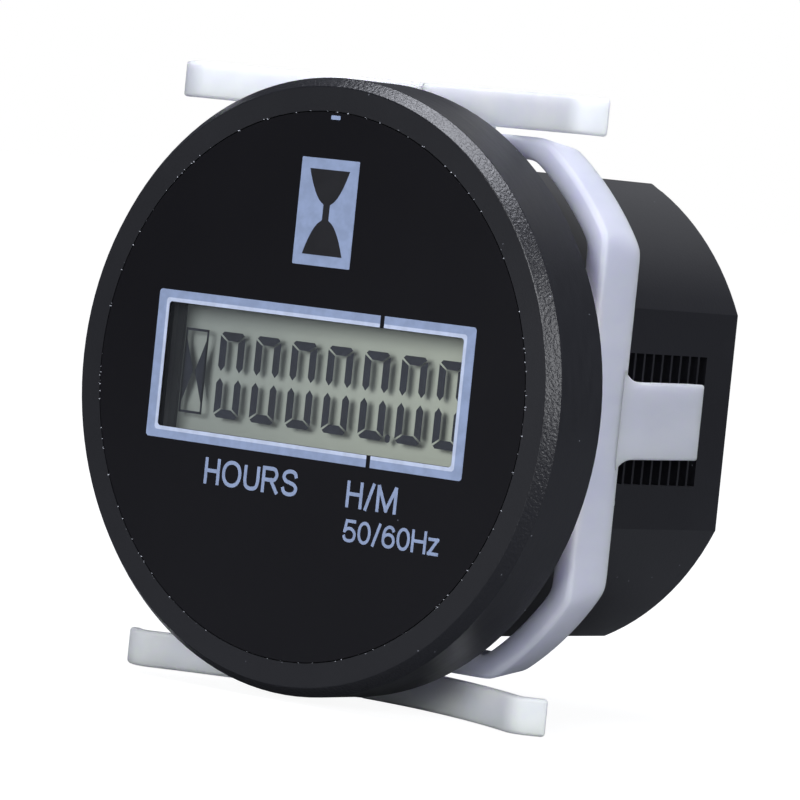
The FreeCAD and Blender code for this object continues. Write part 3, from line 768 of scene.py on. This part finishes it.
def segmentPlate():
    # the row of digits and the decimal point
    outlines = []
    for k in range(digits["count"]):
        outlines += segmentOutlines(digits["first"] + k * digits["pitch"], digits["z"])
    point = roundedBox(digits["pointSize"] * 0.8, digits["pointSize"], digits["pointCorner"])
    outlines.append(point + digits["point"])
    return outlinesPlate("lcd_digits", outlines)


running = {"x": -16.95, "z": -0.1, "width": 3.0, "height": 8.4, "line": 0.24, "inset": 0.3, "waist": 0.12,
           "reach": 0.98}


def runningSymbol():
    # the running sign: a framed hourglass, shown by the two dark triangles beside it
    w, h, line = running["width"] / 2, running["height"] / 2, running["line"]
    centre = (running["x"], running["z"])
    bars = [(-w, w, h - line, h), (-w, w, -h, -h + line), (-w, -w + line, -h, h), (w - line, w, -h, h)]
    outlines = [np.array([(a, c), (b, c), (b, d), (a, d)]) + centre for a, b, c, d in bars]
    tall, wide = h - line - running["inset"], w * running["reach"]
    for side in (1, -1):
        corners = [(side * wide, tall), (side * running["waist"], 0), (side * wide, -tall)]
        outlines.append(np.array(corners) + centre)
    return outlinesPlate("lcd_running_sign", outlines)


for piece in (segmentPlate(), runningSymbol()):
    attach(piece, "meter")
print("display segments made")

# burrs left in the seam round the lens
burr = {"radius": 26.66, "count": 130, "size": 0.10, "tall": 0.04, "seed": 7, "colour": srgb(190, 192, 200)}


def seamBurrs():
    # short curled flecks: small three-sided tents scattered round the seam
    rng = np.random.default_rng(burr["seed"])
    angle = rng.uniform(0, 2 * pi, burr["count"])
    size = burr["size"] * rng.uniform(0.3, 1.6, burr["count"])
    radius = burr["radius"] + rng.uniform(-0.05, 0.12, burr["count"])
    turn = rng.uniform(0, 2 * pi, burr["count"])
    corner = np.arange(3) * 2 * pi / 3
    dx = size[:, None] * np.cos(turn[:, None] + corner)
    dz = 0.5 * size[:, None] * np.sin(turn[:, None] + corner)
    x = radius[:, None] * np.cos(angle)[:, None] + dx
    z = radius[:, None] * np.sin(angle)[:, None] + dz
    base = np.stack([x, np.full_like(x, filmY), z], axis=-1)
    tip = np.stack([x.mean(1), np.full(len(x), filmY - burr["tall"]), z.mean(1)], axis=-1)[:, None]
    points = np.concatenate([base, tip], axis=1).reshape(-1, 3)
    first = np.arange(burr["count"])[:, None, None] * 4
    faces = (first + np.array([[0, 1, 2], [0, 1, 3], [1, 2, 3], [2, 0, 3]])).reshape(-1, 3).tolist()
    return meshPiece("seam_burrs", points * mm, faces, mouldedFinish("burr", burr["colour"], 0.6, 0.1 * mm), 0)


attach(seamBurrs(), "meter")
print("seam burrs made")

# floor: pale and wide, lifted to white where the camera sees it, with a soft shade under the object
floor = {"half": 6.0, "steps": 9, "below": 0.1 * mm, "colour": (0.16, 0.165, 0.175), "lift": 0.92,
         "near": 0.05, "clear": 0.35}


def makeFloor():
    # a flat grid just below the lowest piece
    n = floor["steps"]
    line = np.linspace(-floor["half"], floor["half"], n)
    x, y = np.meshgrid(line, line, indexing="ij")
    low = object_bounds()[0].z - floor["below"]
    points = np.column_stack([x.ravel(), y.ravel(), np.full(x.size, low)])
    index = np.arange(n * n).reshape(n, n)
    faces = np.stack([index[:-1, :-1], index[1:, :-1], index[1:, 1:], index[:-1, 1:]], axis=-1).reshape(-1, 4)
    finish = Finish("floor_pale")
    across, along, _ = finish.axes()
    far = smoothStep((across * across + along * along) ** 0.5, floor["near"], floor["clear"])
    seen = finish.add("ShaderNodeLightPath")
    lift = seen * (floor["lift"] + (1 - floor["lift"]) * far)
    glow = finish.add("ShaderNodeCombineColor", {}, {0: lift, 1: lift, 2: lift})
    finish.put(Base_Color=floor["colour"], Roughness=0.8, Emission_Color=glow, Emission_Strength=1.0)
    return meshPiece("floor", points, faces.tolist(), finish.material, 0)


makeFloor()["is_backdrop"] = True

# surroundings: white where the camera looks past the object, dim elsewhere, and soft lamps
surround = {"dim": 0.10, "tint": (0.82, 0.86, 1.0)}
world = bpy.data.worlds.new("surroundings")
bpy.context.scene.world = world
world.use_nodes = True
seen = add(world.node_tree, "ShaderNodeLightPath")
glow = add(world.node_tree, "ShaderNodeMix", {"data_type": "RGBA"},
           {"Factor": seen, "A": (*[surround["dim"] * c for c in surround["tint"]], 1), "B": (1, 1, 1, 1)}, 2)
world.node_tree.links.new(glow.socket, world.node_tree.nodes["Background"].inputs["Color"])

lamps = [{"name": "overhead", "place": (-0.02, -0.06, 0.58), "size": (0.56, 0.22), "power": 3.6,
          "colour": (0.90, 0.92, 1.0)},
         {"name": "side", "place": (0.70, -0.12, 0.10), "size": (0.3, 0.8), "power": 5.2},
         {"name": "front", "place": (0.04, -0.90, 0.24), "size": (0.5, 0.4), "power": 5.6},
         {"name": "rear", "place": (-0.10, 0.72, 0.50), "size": (0.6, 0.4), "power": 0.4}]


def softLamp(name, place, size, power, colour=(0.95, 0.965, 1.0)):
    # a rectangular lamp turned to the object; place and size in metres, power in watts
    data = bpy.data.lights.new(name, "AREA")
    data.shape, data.size, data.size_y = "RECTANGLE", size[0], size[1]
    data.energy, data.color = power, colour
    light = bpy.data.objects.new(name, data)
    bpy.context.scene.collection.objects.link(light)
    light.location = place
    light.rotation_euler = (-Vector(place)).to_track_quat("-Z", "Y").to_euler()


for entry in lamps:
    softLamp(**entry)

# camera
view = {"azimuth": 38.65, "elevation": 2.45, "roll": 5.86, "distance": 0.5445, "right": 0.009066, "up": -0.001279,
        "axisY": -0.0076, "lens": 253.755, "sensor": 36, "farthest": 10}


def placeCamera():
    # the camera's axes: back from azimuth and elevation, then right and up turned by the roll
    az, el, roll = (radians(view[key]) for key in ("azimuth", "elevation", "roll"))
    back = np.array([sin(az) * cos(el), -cos(az) * cos(el), sin(el)])
    across = np.cross((0, 0, 1), back)
    across = across / np.linalg.norm(across)
    upward = np.cross(back, across)
    right = cos(roll) * across + sin(roll) * upward
    up = -sin(roll) * across + cos(roll) * upward
    place = view["distance"] * back + view["right"] * right + view["up"] * up + (0, view["axisY"], 0)
    data = bpy.data.cameras.new("camera")
    data.lens, data.sensor_width, data.clip_end = view["lens"], view["sensor"], view["farthest"]
    camera = bpy.data.objects.new("camera", data)
    bpy.context.scene.collection.objects.link(camera)
    axes = np.column_stack([right, up, back, place])
    camera.matrix_world = Matrix([*axes.tolist(), (0, 0, 0, 1)])
    bpy.context.scene.camera = camera


placeCamera()
bpy.context.scene.view_settings.view_transform = "Standard"
print("camera and light made")
